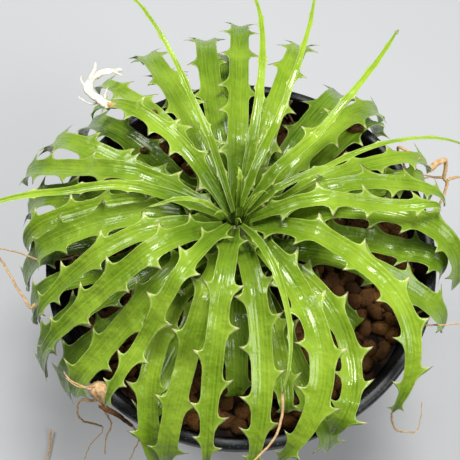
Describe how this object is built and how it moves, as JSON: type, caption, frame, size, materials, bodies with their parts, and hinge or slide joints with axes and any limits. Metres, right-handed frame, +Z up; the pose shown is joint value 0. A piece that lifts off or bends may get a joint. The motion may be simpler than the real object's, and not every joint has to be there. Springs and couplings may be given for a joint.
{
  "type": "potted encholirium",
  "caption": "Spiny bromeliad rosette of arching toothed leaves on a short stem, rooted in brown granules in a round tapered nursery pot.",
  "frame": {"origin": "centre of the flat underside of the pot, on the surface it stands on", "axes": "+Z up along the pot's axis, -Y the side of the plant that faces the viewer, +X to the viewer's right"},
  "size_m": [0.1557, 0.1534, 0.1362],
  "materials": {
    "pot_black": "matte black polypropylene",
    "granules_brown": "damp baked-clay granules",
    "stem_green": "fibrous living stem",
    "root_tan": "dull roots",
    "leaf_outer": "glossy living leaf, older",
    "leaf_middle": "glossy living leaf",
    "leaf_inner": "glossy living leaf, young",
    "leaf_young": "glossy living leaf, youngest"
  },
  "bodies": {
    "root": {"leaf_01": "leaf_outer", "leaf_02": "leaf_outer", "leaf_03": "leaf_outer", "leaf_04": "leaf_outer", "leaf_05": "leaf_outer", "leaf_06": "leaf_outer", "leaf_07": "leaf_outer", "leaf_08": "leaf_outer", "leaf_09": "leaf_outer", "leaf_10": "leaf_outer", "leaf_11": "leaf_outer", "leaf_12": "leaf_outer", "leaf_13": "leaf_outer", "leaf_14": "leaf_outer", "leaf_15": "leaf_outer", "leaf_16": "leaf_outer", "leaf_17": "leaf_middle", "leaf_18": "leaf_middle", "leaf_19": "leaf_middle", "leaf_20": "leaf_middle", "leaf_21": "leaf_middle", "leaf_22": "leaf_middle", "leaf_23": "leaf_middle", "leaf_24": "leaf_middle", "leaf_25": "leaf_middle", "leaf_26": "leaf_middle", "leaf_27": "leaf_middle", "leaf_28": "leaf_middle", "leaf_29": "leaf_middle", "leaf_30": "leaf_middle", "leaf_31": "leaf_middle", "leaf_32": "leaf_middle", "leaf_33": "leaf_middle", "leaf_34": "leaf_middle", "leaf_35": "leaf_inner", "leaf_36": "leaf_inner", "leaf_37": "leaf_inner", "leaf_38": "leaf_inner", "leaf_39": "leaf_inner", "leaf_40": "leaf_inner", "leaf_41": "leaf_inner", "leaf_42": "leaf_inner", "leaf_43": "leaf_inner", "leaf_44": "leaf_inner", "leaf_45": "leaf_young", "leaf_46": "leaf_young", "leaf_47": "leaf_young", "leaf_48": "leaf_young", "leaf_49": "leaf_young", "leaf_50": "leaf_young", "leaf_51": "leaf_young", "leaf_52": "leaf_young", "leaf_53": "leaf_young", "leaf_54": "leaf_young", "leaf_55": "leaf_young", "leaf_56": "leaf_young", "pot": "pot_black", "soil": "granules_brown", "stem": "stem_green", "roots": "root_tan"}
  },
  "joints": []
}
